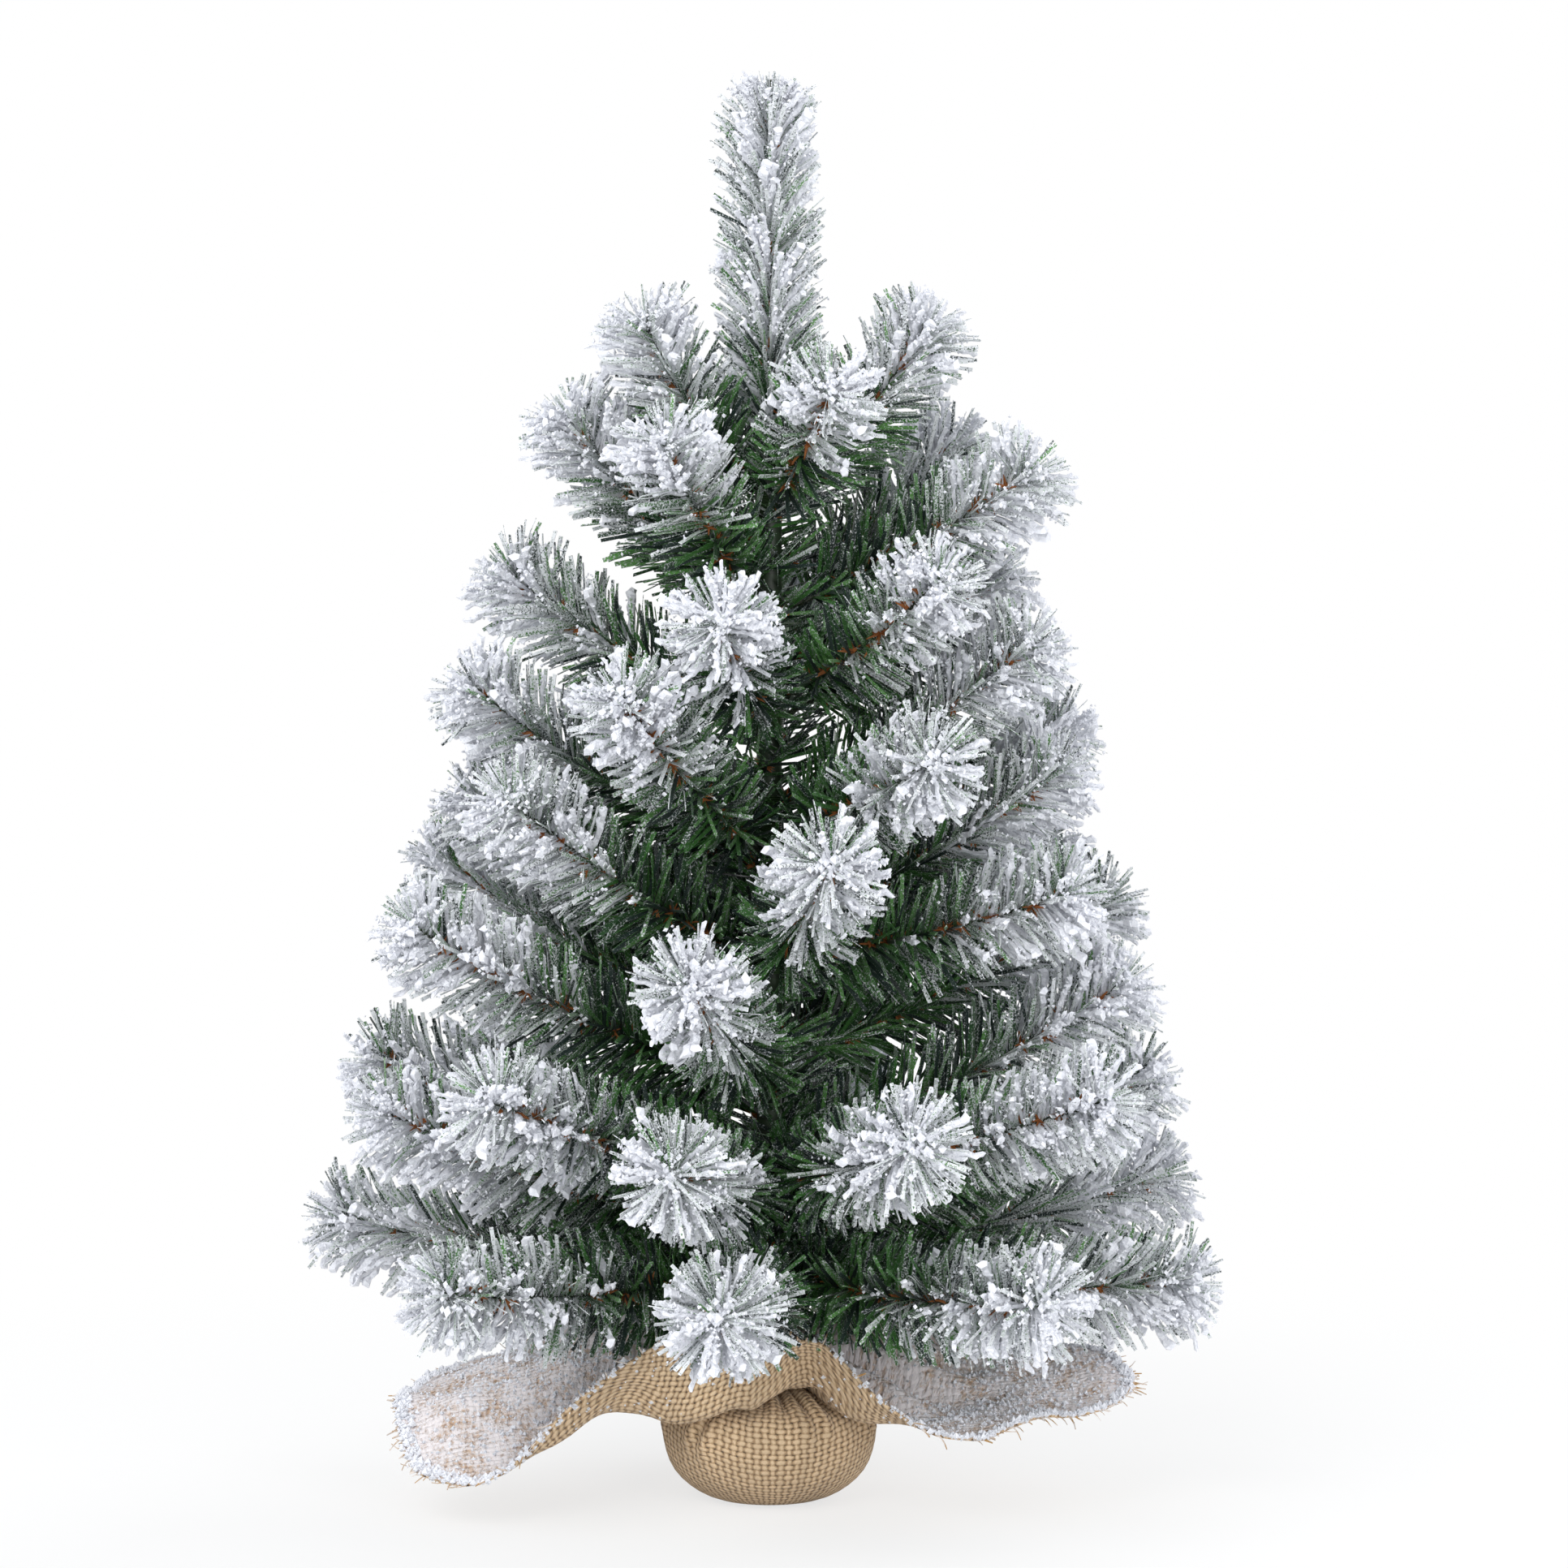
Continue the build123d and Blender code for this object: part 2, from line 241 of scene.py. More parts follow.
def wrap_point(azimuth, t, gathering=1.0):
    """A place on the cloth in mm, with t from 0 under the weight, past tie_share, to 1 at the hem.

    A gathering of 0 leaves out the main pleats."""
    turn = math.radians(azimuth)
    from_front = (azimuth + 90) % 360 - 90
    pleat = (math.sin(13 * turn + 0.7 + 0.8 * math.sin(2 * turn))
             + 0.6 * math.sin(22 * turn + 2.1 + 0.7 * math.sin(3 * turn)))
    # the twenty-four main pleats that take up the square's surplus at the tie
    gather = math.sin(24 * turn + 0.9 * math.sin(3 * turn))
    in_front = math.exp(-((from_front + 8) / 38) ** 2)
    if t < tie_share:
        r, z = through(bag_line, t / tie_share)
        gathered = smooth(0.22, 0.4, t)
        r += 1.1 * pleat * gathered * smooth(0, 20, r) - 0.7 * gathered
        z += 0.5 * pleat * gathered
        z += 2.0 * (gather + 0.6) * smooth(0.25, 0.33, t) * (1 - smooth(0.38, tie_share, t))
        for start, end, depth in (((-31, 46), (-48, 20), 2.1), ((24, 48), (29, 26), 2.3),
                                  ((-8, 46), (-18, 33), 1.2), ((62, 44), (74, 24), 1.9),
                                  ((-75, 45), (-84, 24), 1.2), ((140, 45), (150, 22), 1.2),
                                  ((205, 45), (196, 24), 1.3)):
            along = Vector(((end[0] - start[0]) * 0.75, end[1] - start[1]))
            off = Vector((((azimuth - start[0] + 180) % 360 - 180) * 0.75, z - start[1]))
            near = min(max(off.dot(along) / along.length_squared, 0), 1)
            far = (off - along * near).length
            ridge = 1.1 * math.exp(-((far - 4.2) / 2.4) ** 2) - 0.3 * math.exp(-(far / 1.8) ** 2)
            r += depth * ridge * (1 - smooth(0.6, 1.0, near))
        return r, z
    fold_r, fold_z, hem_r, hem_z = flap_at(azimuth)
    mouth = (tie_radius, 52.2)
    lip = (tie_radius + (fold_r - tie_radius) * 0.22, 52.6 + (fold_z - 52.6) * 0.30 + 2.0)
    middle = ((fold_r + hem_r) / 2, (fold_z + hem_z) / 2 + 1.6)
    u = (t - tie_share) / (1 - tie_share)
    r, z = through((mouth, lip, (fold_r, fold_z), middle, (hem_r, hem_z)), u)
    opened = smooth(0.0, 0.14, u) * (1 - 0.75 * smooth(0.2, 0.75, u))
    z += 1.2 * pleat * opened
    near_tie = smooth(0.0, 0.1, u) * (1 - smooth(0.3, 0.68 - 0.3 * in_front, u))
    z += 5.6 * (1 - 0.45 * in_front) * (1 + gather) * near_tie * gathering
    r += 0.8 * pleat * opened
    # behind, the pleats run on to a ruffled hem
    behind = smooth(95, 125, from_front) * (1 - smooth(232, 262, from_front))
    z += 4.8 * gather * behind * smooth(0.2, 0.45, u) * gathering
    wave = math.sin(7 * turn + 1.3 * math.sin(turn)) + 0.7 * math.sin(12 * turn + 1.9)
    z += 1.4 * wave * smooth(0.35, 1, u)
    loose = noise.noise(Vector((math.cos(turn) * r, math.sin(turn) * r, 7.0)) * 0.055)
    z += 3.2 * loose * smooth(0.2, 0.7, u)
    r += 1.6 * noise.noise(Vector((turn * 9, 3.1, 0.2))) * smooth(0.8, 1, u)
    return r, z


wrap = bmesh.new()
bmesh.ops.create_grid(wrap, x_segments=wrap_azimuth_steps, y_segments=wrap_rows, size=0.5)
weave = wrap.loops.layers.uv.new("weave")
lines = {}
for column in range(wrap_azimuth_steps + 1):
    azimuth = column * 360 / wrap_azimuth_steps - 90
    line = [wrap_point(azimuth, row / wrap_rows) for row in range(wrap_rows + 1)]
    # the threads are counted along the cloth without its pleats
    even = [wrap_point(azimuth, row / wrap_rows, 0) for row in range(wrap_rows + 1)]
    run = [0.0]
    for (r0, z0), (r1, z1) in zip(even, even[1:]):
        run.append(run[-1] + math.hypot(r1 - r0, z1 - z0))
    lines[column] = (math.radians(azimuth), line, run)
neck_row = round(tie_share * wrap_rows)
for face in wrap.faces:
    rows = [round((loop.vert.co.y + 0.5) * wrap_rows) for loop in face.loops]
    above = min(rows) >= neck_row
    for loop, row in zip(face.loops, rows):
        turn, line, run = lines[round((loop.vert.co.x + 0.5) * wrap_azimuth_steps)]
        if above:
            cut = run[row] - run[neck_row] + 12
            loop[weave].uv = (cut * math.sin(turn) / 1000, -cut * math.cos(turn) / 1000)
        else:
            sagged = run[row] - 6 * (1 - math.cos(2 * turn)) + 2.5 * math.sin(turn)
            loop[weave].uv = (turn * 0.041, sagged / 1000)
for vertex in wrap.verts:
    turn, line, run = lines[round((vertex.co.x + 0.5) * wrap_azimuth_steps)]
    r, z = line[round((vertex.co.y + 0.5) * wrap_rows)]
    vertex.co = (r * math.sin(turn) / 1000, -r * math.cos(turn) / 1000, max(z, 0.8) / 1000)
bmesh.ops.remove_doubles(wrap, verts=wrap.verts, dist=0.00001)
bmesh.ops.recalc_face_normals(wrap, faces=wrap.faces)
# the bag's faces look out from the pole, and the cloth's other side takes the second material
side_face = min(wrap.faces, key=lambda face: abs(face.calc_center_median().z - 0.02)
                + abs(face.calc_center_median().xy.length - 0.042))
if side_face.normal.dot(side_face.calc_center_median()) < 0:
    bmesh.ops.reverse_faces(wrap, faces=wrap.faces)
for face in wrap.faces:
    face.smooth = True


def jute_colours(tree):
    """The plain weave: its colour, with painted shade in the gaps and painted highlights on the thread
    crowns, and its height, from the cloth's own map.
    """
    cloth_map = add(tree, "UVMap", uv_map="weave")
    # slubs and slack pull the threads by up to about a millimetre off line
    drift = add(tree, "TexNoise", {"Vector": cloth_map.outputs[0], "Scale": 70.0, "Detail": 3.0})
    centred = add(tree, "VectorMath", {0: drift.outputs["Color"], 1: (0.5, 0.5, 0.5)},
                  operation="SUBTRACT")
    pulled = add(tree, "VectorMath", {0: centred.outputs[0], 1: (0.0030, 0.0026, 0),
                                      2: cloth_map.outputs[0]}, operation="MULTIPLY_ADD")
    counted = add(tree, "VectorMath", {0: pulled.outputs[0], 1: (1 / warp_pitch, 1 / weft_pitch, 0)},
                  operation="MULTIPLY")
    split = add(tree, "SeparateXYZ", {0: counted.outputs[0]})
    heights = []
    tones = []
    # the warp is thin and lies low, and the weft is fuller and stands up over it
    for across, along, start, slack, crown in (("X", "Y", 0.0, -2.9, 0.26),
                                               ("Y", "X", 1.0, -1.5, 0.40)):
        cell = add(tree, "Math", {0: split.outputs[across]}, operation="FLOOR")
        inside = add(tree, "Math", {0: split.outputs[across]}, operation="FRACT")
        off_middle = add(tree, "Math", {0: inside.outputs[0], 1: 0.5}, operation="SUBTRACT")
        squared = add(tree, "Math", {0: off_middle.outputs[0], 1: off_middle.outputs[0]},
                      operation="MULTIPLY")
        own = add(tree, "TexWhiteNoise", {"W": cell.outputs[0]}, noise_dimensions="1D")
        thickness = add(tree, "Math", {0: own.outputs["Value"], 1: -1.6, 2: slack},
                        operation="MULTIPLY_ADD")
        round_thread = add(tree, "Math", {0: squared.outputs[0], 1: thickness.outputs[0], 2: 0.85},
                           operation="MULTIPLY_ADD")
        shifted = add(tree, "Math", {0: cell.outputs[0], 1: start}, operation="ADD")
        wave_at = add(tree, "Math", {0: shifted.outputs[0], 1: split.outputs[along]}, operation="ADD")
        angle = add(tree, "Math", {0: wave_at.outputs[0], 1: math.pi}, operation="MULTIPLY")
        over_under = add(tree, "Math", {0: angle.outputs[0]}, operation="SINE")
        rise = add(tree, "Math", {0: over_under.outputs[0], 1: crown, 2: round_thread.outputs[0]},
                   operation="MULTIPLY_ADD")
        heights.append(rise)
        tones.append(own)
    top = add(tree, "Math", {0: heights[0].outputs[0], 1: heights[1].outputs[0]}, operation="MAXIMUM")
    tone = add(tree, "Math", {0: tones[0].outputs["Value"], 1: tones[1].outputs["Value"]},
               operation="ADD")
    fibres = add(tree, "TexNoise", {"Vector": cloth_map.outputs[0], "Scale": 1800.0, "Detail": 3.0})
    matted = add(tree, "Math", {0: top.outputs[0], 1: 0.72}, operation="MULTIPLY")
    rough_top = add(tree, "Math", {0: fibres.outputs["Fac"], 1: 0.42, 2: matted.outputs[0]},
                    operation="MULTIPLY_ADD")
    # the colour follows the weave's height: painted shade dark in the gaps and painted highlight pale on
    # the crowns of the threads
    ramp = add(tree, "ValToRGB", {0: rough_top.outputs[0]})
    stops = ramp.color_ramp.elements
    stops[0].position, stops[0].color = 0.44, linear("#4c3c2e")
    stops[1].position, stops[1].color = 1.06 / 1.1, linear("#dcc19c")
    middle = stops.new(0.60)
    middle.color = linear("#9a7d5c")
    upper = stops.new(0.78)
    upper.color = linear("#b79872")
    mottle = add(tree, "TexNoise", {"Vector": cloth_map.outputs[0], "Scale": 45.0, "Detail": 2.0})
    toned = add(tree, "Math", {0: tone.outputs[0], 1: 0.16, 2: mottle.outputs["Fac"]},
                operation="MULTIPLY_ADD")
    value = add(tree, "Math", {0: toned.outputs[0], 1: 0.55, 2: 0.62}, operation="MULTIPLY_ADD")
    shade = add(tree, "HueSaturation", {"Saturation": 0.95, "Value": value.outputs[0],
                                        "Color": ramp.outputs["Color"]})
    return cloth_map, shade.outputs["Color"], rough_top.outputs[0]


# loose plain weave of spun jute, undyed: dry warm tan threads, 3 mm apart one way and 2.2 mm
# the other, with painted shade darkening the gaps between them and painted highlights on their crowns
jute, tree = empty_material("woven_jute_burlap")
cloth_map, tan, relief = jute_colours(tree)
bump = add(tree, "Bump", {"Height": relief, "Strength": 1.0, "Distance": 0.0011})
surface = add(tree, "BsdfPrincipled", {"Base Color": tan, "Roughness": 0.95, "IOR": 1.45,
                                       "Sheen Weight": 0.15, "Normal": bump.outputs["Normal"]})
add(tree, "OutputMaterial", {"Surface": surface.outputs[0]})

# the same cloth under a blown coat of flock: pinkish white, with the tan threads showing in flecks
flocked_jute, tree = empty_material("woven_jute_burlap_dusted_with_flock")
cloth_map, tan, relief = jute_colours(tree)
drifts = add(tree, "TexNoise", {"Vector": cloth_map.outputs[0], "Scale": 90.0, "Detail": 4.0,
                                "Roughness": 0.7})
flecks = add(tree, "TexNoise", {"Vector": cloth_map.outputs[0], "Scale": 520.0, "Detail": 3.0,
                                "Roughness": 0.75})
settled = add(tree, "Math", {0: relief, 1: 0.10, 2: drifts.outputs["Fac"]}, operation="MULTIPLY_ADD")
coat = add(tree, "Math", {0: flecks.outputs["Fac"], 1: 0.8, 2: settled.outputs[0]},
           operation="MULTIPLY_ADD")
cover = add(tree, "MapRange", {"Value": coat.outputs[0], "From Min": 0.78, "From Max": 1.0})
thin = add(tree, "Mix", {0: 0.45, 6: tan, 7: linear("#e0bda8")}, data_type="RGBA")
dusted = add(tree, "Mix", {0: cover.outputs[0], 6: thin.outputs[2], 7: linear("#efe8e8")},
             data_type="RGBA")
coat_height = add(tree, "Math", {0: cover.outputs[0], 1: 0.6, 2: relief}, operation="MULTIPLY_ADD")
bump = add(tree, "Bump", {"Height": coat_height.outputs[0], "Strength": 0.9, "Distance": 0.001})
surface = add(tree, "BsdfPrincipled", {"Base Color": dusted.outputs[2], "Roughness": 1.0,
                                       "IOR": 1.45, "Normal": bump.outputs["Normal"]})
add(tree, "OutputMaterial", {"Surface": surface.outputs[0]})

wrap_piece = finished("burlap_wrap", wrap, "root", [jute, flocked_jute])
walls = wrap_piece.modifiers.new("cloth_thickness", "SOLIDIFY")
walls.thickness = 0.0011
walls.offset = 0
walls.material_offset = 1
walls.material_offset_rim = 0
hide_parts("burlap_bag", "burlap_skirt")


# ---- Frayed hem and settled flock
# The cut edge of the jute was left raw, so its cross threads stand out as a short fringe.
# Flock that missed the branches settled on the flaps in crumbs of half a millimetre to four.
fraying = random.Random(5)


def pulled_thread(length, width, bend):
    """One loose end of jute yarn, growing along +Z from its root."""
    bm = bmesh.new()
    bmesh.ops.create_cone(bm, cap_ends=True, segments=4, radius1=width / 2, radius2=width / 4,
                          depth=length)
    bmesh.ops.translate(bm, vec=(0, 0, length / 2), verts=bm.verts)
    upright = [e for e in bm.edges if abs(e.verts[0].co.z - e.verts[1].co.z) > length / 2]
    bmesh.ops.subdivide_edges(bm, edges=upright, cuts=2)
    for vertex in bm.verts:
        vertex.co.y += bend * (vertex.co.z / length) ** 2
    made = bpy.data.meshes.new("pulled_thread")
    bm.to_mesh(made)
    bm.free()
    return made


def crumb(size, seed):
    """One crumb of flock: a small rough lump."""
    rough = random.Random(seed)
    bm = bmesh.new()
    bmesh.ops.create_uvsphere(bm, u_segments=4, v_segments=2, radius=size / 2)
    for vertex in bm.verts:
        vertex.co *= rough.uniform(0.65, 1.35)
    layer = bm.loops.layers.uv.new("OFBake")
    corner = (0.86 + 0.02 * (seed % 6), 0.55 + 0.025 * (seed % 5))
    for face in bm.faces:
        for loop, (u, v) in zip(face.loops, ((0, 0), (0.016, 0), (0.008, 0.018))):
            loop[layer].uv = (corner[0] + u, corner[1] + v)
    made = bpy.data.meshes.new("crumb")
    bm.to_mesh(made)
    bm.free()
    return made


def put(mesh_in_edit, template, place, towards, roll=0.0, size=1.0):
    """A copy of the template joins the mesh, its +Z turned towards a direction."""
    turn = Vector(towards).to_track_quat("Z", "Y").to_matrix() @ Matrix.Rotation(roll, 3, "Z")
    where = Matrix.Translation(place) @ (turn * size).to_4x4()
    template.transform(where)
    mesh_in_edit.from_mesh(template)
    template.transform(where.inverted())


def on_wrap(azimuth, t):
    r, z = wrap_point(azimuth, t)
    turn = math.radians(azimuth)
    return Vector((r * math.sin(turn), -r * math.cos(turn), z)) / 1000


thread_ends = [pulled_thread(0.004, 0.0010, 0.0010), pulled_thread(0.003, 0.0009, -0.0008),
               pulled_thread(0.006, 0.0008, 0.0025)]
fringe = bmesh.new()
azimuth = -90.0
while azimuth < 270:
    edge = on_wrap(azimuth, 1.0)
    out = (edge - on_wrap(azimuth, 0.97)).normalized()
    out += Vector([fraying.uniform(-0.45, 0.45) for _ in range(3)])
    put(fringe, fraying.choice(thread_ends), edge - out * 0.0008, out, fraying.uniform(0, 6.28),
        fraying.uniform(0.5, 1.25))
    azimuth += math.degrees(0.0016 / edge.xy.length) * fraying.uniform(0.5, 1.5)

# single jute yarn: the same tan as the cloth, a little paler where it has frayed to fibres
yarn, tree = empty_material("loose_jute_yarn")
place = add(tree, "TexCoord")
patches = add(tree, "TexNoise", {"Vector": place.outputs["Object"], "Scale": 260.0, "Detail": 2.0})
tan = add(tree, "ValToRGB", {0: patches.outputs["Fac"]})
tan.color_ramp.elements[0].position, tan.color_ramp.elements[0].color = 0.36, linear("#b08a58")
tan.color_ramp.elements[1].position, tan.color_ramp.elements[1].color = 0.60, linear("#ddd3cb")
surface = add(tree, "BsdfPrincipled", {"Base Color": tan.outputs[0], "Roughness": 0.95, "IOR": 1.45})
add(tree, "OutputMaterial", {"Surface": surface.outputs[0]})
fringe_piece = finished("burlap_fringe", fringe, "root", [yarn])

# viscose fibre flock blown on wet glue: chalk white and matt, with a painted bluish grey shade in its
# hollows
flock, tree = empty_material("viscose_flock_snow")
flock_map = add(tree, "UVMap", uv_map="OFBake")
# clumps 1 to 2 mm across and grains under half a millimetre, on a map that holds 50 to 65 mm
clumps = add(tree, "TexNoise", {"Vector": flock_map.outputs[0], "Scale": 42.0, "Detail": 3.0,
                                "Roughness": 0.65})
grains = add(tree, "TexNoise", {"Vector": flock_map.outputs[0], "Scale": 160.0, "Detail": 2.0})
relief_and_painted_shade = add(tree, "Math", {0: grains.outputs["Fac"], 1: 0.55, 2: clumps.outputs["Fac"]},
             operation="MULTIPLY_ADD")
# the ramp paints the low places of the lumps a bluish grey: painted shade
white = add(tree, "ValToRGB", {0: relief_and_painted_shade.outputs[0]})
stops = white.color_ramp.elements
stops[0].position, stops[0].color = 0.50, linear("#a9aeb2")
stops[1].position, stops[1].color = 0.86, linear("#f3f4f9")
middle = stops.new(0.66)
middle.color = linear("#dfe1e8")
bump = add(tree, "Bump", {"Height": relief_and_painted_shade.outputs[0], "Strength": 0.7, "Distance": 0.0008})
surface = add(tree, "BsdfPrincipled", {"Base Color": white.outputs[0], "Roughness": 1.0,
                                       "IOR": 1.4, "Normal": bump.outputs["Normal"]})
add(tree, "OutputMaterial", {"Surface": surface.outputs[0]})

settled_crumbs = 6400
crumbs = [crumb(0.0016, 1), crumb(0.0022, 2), crumb(0.0012, 3), crumb(0.0028, 4)]
dust = bmesh.new()
for _ in range(settled_crumbs):
    azimuth = fraying.choice((fraying.gauss(-74, 16), fraying.gauss(80, 24)))
    crust = fraying.random() < 0.3
    t = fraying.uniform(0.975, 1.0) if crust else fraying.triangular(0.5, 1.0, 0.9)
    spot = on_wrap(azimuth, t) + Vector((fraying.gauss(0, 0.0008), fraying.gauss(0, 0.0008),
                                         fraying.uniform(0.0002, 0.0013)))
    put(dust, fraying.choice(crumbs), spot, (0, 0, 1), fraying.uniform(0, 6.28),
        fraying.uniform(0.5, 1.2) * (1.3 if crust else 0.9))
dust_piece = finished("settled_flock", dust, "root", [flock])


# ---- Wire tie
# Three turns of brown lacquered florist's wire pull the cloth tight round the pole.
# They are almost lost in the pleats; the lacquer is rubbed to copper where the turns cross.
tie_wire, tree = empty_material("lacquered_florist_wire")
place = add(tree, "TexCoord")
rubbed = add(tree, "TexNoise", {"Vector": place.outputs["Object"], "Scale": 420.0, "Detail": 2.0})
brown = add(tree, "ValToRGB", {0: rubbed.outputs["Fac"]})
brown.color_ramp.elements[0].position, brown.color_ramp.elements[0].color = 0.45, linear("#3a2413")
brown.color_ramp.elements[1].position, brown.color_ramp.elements[1].color = 0.70, linear("#8a552b")
surface = add(tree, "BsdfPrincipled", {"Base Color": brown.outputs[0], "Roughness": 0.42, "IOR": 1.5})
add(tree, "OutputMaterial", {"Surface": surface.outputs[0]})
dress("neck_tie", tie_wire)


# ---- Pole, its tape and the branch windings
# A cold drawn steel rod stands in the cement. A dark green PVC tape is wound round it to grip
# the branch wires, and each tier is bound on with turns of green wire.
rod_steel, tree = empty_material("drawn_steel")
place = add(tree, "TexCoord")
# drawing lines run along the rod, a fifth of a millimetre apart
stretch = add(tree, "Mapping", {"Vector": place.outputs["Object"], "Scale": (5000, 5000, 60)})
lines_along = add(tree, "TexNoise", {"Vector": stretch.outputs[0], "Scale": 1.0, "Detail": 1.0})
shine = add(tree, "MapRange", {"Value": lines_along.outputs["Fac"], "To Min": 0.28, "To Max": 0.48})
surface = add(tree, "BsdfPrincipled", {"Base Color": linear("#a3a4a6"), "Metallic": 1.0,
                                       "Roughness": shine.outputs[0]})
add(tree, "OutputMaterial", {"Surface": surface.outputs[0]})
dress("trunk_rod", rod_steel)

tape, tree = empty_material("calendered_pvc_tape")
place = add(tree, "TexCoord")
split = add(tree, "SeparateXYZ", {0: place.outputs["Object"]})
around = add(tree, "Math", {0: split.outputs["Y"], 1: split.outputs["X"]}, operation="ARCTAN2")
# the tape is 12 mm wide and laid with half its width over the last turn: an edge every 6 mm
climb = add(tree, "Math", {0: split.outputs["Z"], 1: 2 * math.pi / 0.006}, operation="MULTIPLY")
winding = add(tree, "Math", {0: climb.outputs[0], 1: around.outputs[0]}, operation="ADD")
turns = add(tree, "Math", {0: winding.outputs[0], 1: 1 / (2 * math.pi)}, operation="MULTIPLY")
lap = add(tree, "Math", {0: turns.outputs[0]}, operation="FRACT")
edge = add(tree, "Math", {0: lap.outputs[0], 1: 0.12}, operation="SMOOTH_MIN")
# each turn runs from a darker green at the foot of the step under the turn above to a lighter green at
# its own edge: painted shade under the overlap
dull = add(tree, "Mix", {0: lap.outputs[0], 6: linear("#14220f"), 7: linear("#21361b")},
           data_type="RGBA")
bump = add(tree, "Bump", {"Height": edge.outputs[0], "Strength": 0.6, "Distance": 0.0006})
surface = add(tree, "BsdfPrincipled", {"Base Color": dull.outputs[2], "Roughness": 0.5, "IOR": 1.53,
                                       "Normal": bump.outputs["Normal"]})
add(tree, "OutputMaterial", {"Surface": surface.outputs[0]})
dress("trunk_tape", tape)

winding_wire, tree = empty_material("enamelled_green_wire")
place = add(tree, "TexCoord")
split = add(tree, "SeparateXYZ", {0: place.outputs["Object"]})
# the wire is 0.9 mm thick and lies turn on turn
stack = add(tree, "Math", {0: split.outputs["Z"], 1: 2 * math.pi / 0.0009}, operation="MULTIPLY")
rounds = add(tree, "Math", {0: stack.outputs[0]}, operation="SINE")
worn = add(tree, "TexNoise", {"Vector": place.outputs["Object"], "Scale": 300.0, "Detail": 2.0})
green = add(tree, "Mix", {0: worn.outputs["Fac"], 6: linear("#1c2f18"), 7: linear("#3c5a2f")},
            data_type="RGBA")
bump = add(tree, "Bump", {"Height": rounds.outputs[0], "Strength": 0.8, "Distance": 0.0004})
surface = add(tree, "BsdfPrincipled", {"Base Color": green.outputs[2], "Roughness": 0.38, "IOR": 1.5,
                                       "Normal": bump.outputs["Normal"]})
add(tree, "OutputMaterial", {"Surface": surface.outputs[0]})
dress("branch_windings", winding_wire)


# ---- Branches
# Each branch is a chenille of 1.8 mm strips of PVC film, about 28 mm long, held all round in a
# pair of twisted wires. Its wire ends in a loop at the pole, which it bends about.
strip_width = 0.0018
strip_thickness = 0.0003
curl = math.radians(12)
# columns of the map for the strips, and cells above them for the fingers of flock
strip_columns = 16
finger_cells = 6


def plastic_needle(column, length, bend):
    """One cut strip, growing along +Z from its root, with its own column of the map."""
    bm = bmesh.new()
    bmesh.ops.create_cube(bm, size=1)
    bmesh.ops.scale(bm, vec=(strip_width, strip_thickness, length), verts=bm.verts)
    bmesh.ops.translate(bm, vec=(0, 0, length / 2), verts=bm.verts)
    bmesh.ops.delete(bm, geom=[f for f in bm.faces if f.normal.z < -0.5], context="FACES_ONLY")
    bmesh.ops.bisect_plane(bm, geom=bm.verts[:] + bm.edges[:] + bm.faces[:],
                           plane_co=(0, 0, length * 0.45), plane_no=(0, 0, 1))
    layer = bm.loops.layers.uv.new("OFBake")
    left = column / strip_columns + 0.004
    wide = 1 / strip_columns - 0.008
    for face in bm.faces:
        face.normal_update()
        flat = abs(face.normal.y) > 0.7
        for loop in face.loops:
            x, y, z = loop.vert.co
            over = x / strip_width + 0.5 if flat else 1.08 + 0.12 * (y / strip_thickness + 0.5)
            up = min(z / length, 1) + (0.02 * (y / strip_thickness) if abs(face.normal.z) > 0.5 else 0)
            if abs(face.normal.z) > 0.5:
                over = x / strip_width + 0.5
            loop[layer].uv = (left + wide * 0.8 * over, 0.01 + 0.46 * up)
    for vertex in bm.verts:
        share = vertex.co.z / length
        vertex.co.y += bend * share * share
        vertex.co.x *= 0.75 + 0.5 * share - 0.3 * share * share
    made = bpy.data.meshes.new("plastic_needle")
    bm.to_mesh(made)
    bm.free()
    return made


